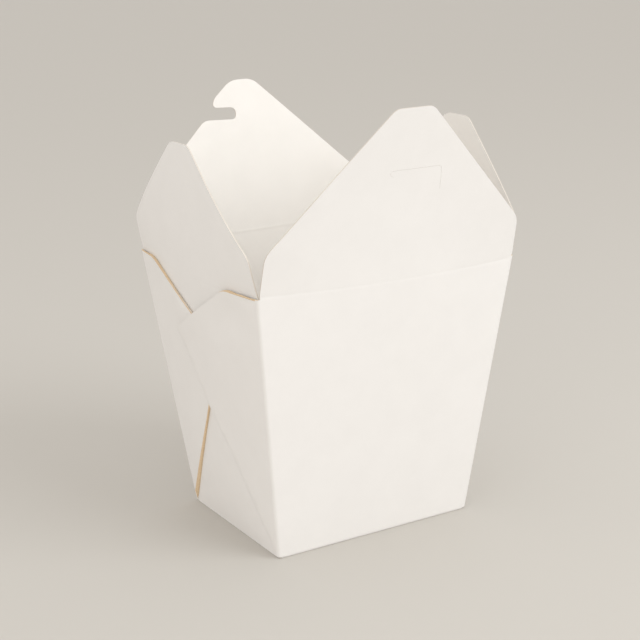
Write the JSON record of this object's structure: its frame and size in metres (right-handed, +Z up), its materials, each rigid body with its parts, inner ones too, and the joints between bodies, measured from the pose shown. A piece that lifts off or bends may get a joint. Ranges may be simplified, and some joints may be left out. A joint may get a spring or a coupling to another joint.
{
  "type": "noodle takeaway box",
  "caption": "Empty folded paperboard takeaway box standing open, tapering to its base, with hinged closing flaps on its rim, a hook that tucks into a slit, and glued corner webs",
  "frame": {"origin": "centre of the underside of the base, on the surface the box stands on", "axes": "+Z up; the front wall, whose flap has the slit, faces -Y; the wall whose flap has the hook faces +Y; the side walls with the glued webs face -X and +X"},
  "size_m": [0.127, 0.1213, 0.1615],
  "materials": {
    "body_board": "smooth coated white paperboard, faintly satin, tan where the board is cut",
    "flap_board": "smooth coated white paperboard, faintly satin, tan where the board is cut"
  },
  "bodies": {
    "carton": {"carton_body": "body_board"},
    "front_flap": {"front_flap": "flap_board"},
    "back_flap": {"back_flap": "flap_board"},
    "left_flap": {"left_flap": "flap_board"},
    "right_flap": {"right_flap": "flap_board"}
  },
  "joints": [
    {"name": "front_crease", "type": "hinge", "parent": "carton", "child": "front_flap", "pos_m": [0, -0.04575, 0.102], "axis": [-1, 0, 0], "range_deg": [-75, 104]},
    {"name": "back_crease", "type": "hinge", "parent": "carton", "child": "back_flap", "pos_m": [0, 0.04575, 0.102], "axis": [1, 0, 0], "range_deg": [-75, 101.5]},
    {"name": "left_crease", "type": "hinge", "parent": "carton", "child": "left_flap", "pos_m": [-0.05214, 0, 0.101], "axis": [0, 1, 0], "range_deg": [-75, 104]},
    {"name": "right_crease", "type": "hinge", "parent": "carton", "child": "right_flap", "pos_m": [0.05214, 0, 0.101], "axis": [0, -1, 0], "range_deg": [-75, 104]}
  ]
}
